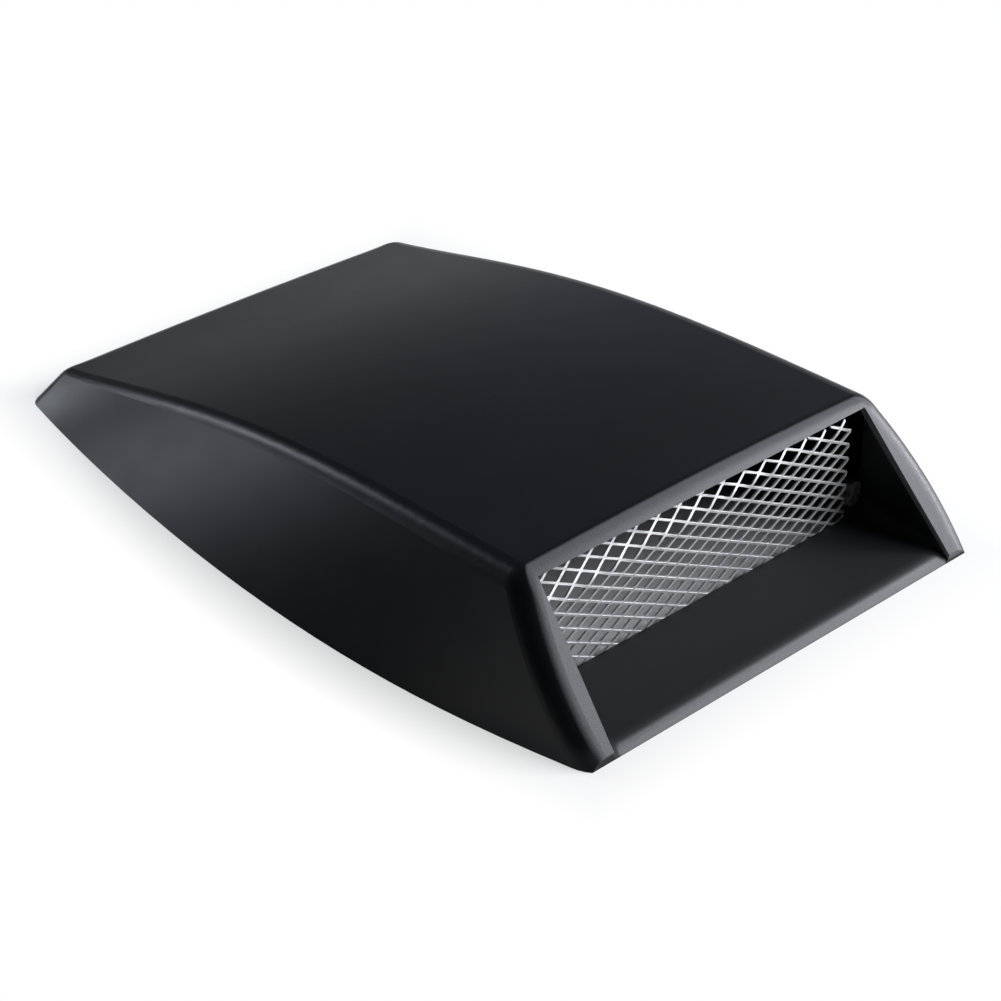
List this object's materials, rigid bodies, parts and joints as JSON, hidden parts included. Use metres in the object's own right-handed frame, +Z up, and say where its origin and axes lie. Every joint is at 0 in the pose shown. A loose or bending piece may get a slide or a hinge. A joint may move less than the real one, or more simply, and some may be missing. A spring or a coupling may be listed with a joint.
{
  "type": "bonnet scoop vent",
  "caption": "Black moulded bonnet scoop with a raked trapezoid mouth, a bent expanded-metal grille behind it and foam tape round its foot.",
  "frame": {"origin": "middle of the footprint, on the plane of the bonnet that the scoop sits on", "axes": "+X from the low nose towards the open mouth, +Y across the scoop, +Z up from the bonnet"},
  "size_m": [0.34, 0.243, 0.054],
  "materials": {
    "cover": "satin black with a fine moulded grain",
    "mesh": "bright mill finish",
    "glue": "cloudy hot-melt glue",
    "tape": "dull closed-cell foam"
  },
  "bodies": {
    "root": {"cover": "cover", "mesh_grille": "mesh", "glue_dabs": "glue", "tape_left": "tape", "tape_right": "tape", "tape_nose": "tape", "tape_mouth": "tape"}
  },
  "joints": []
}
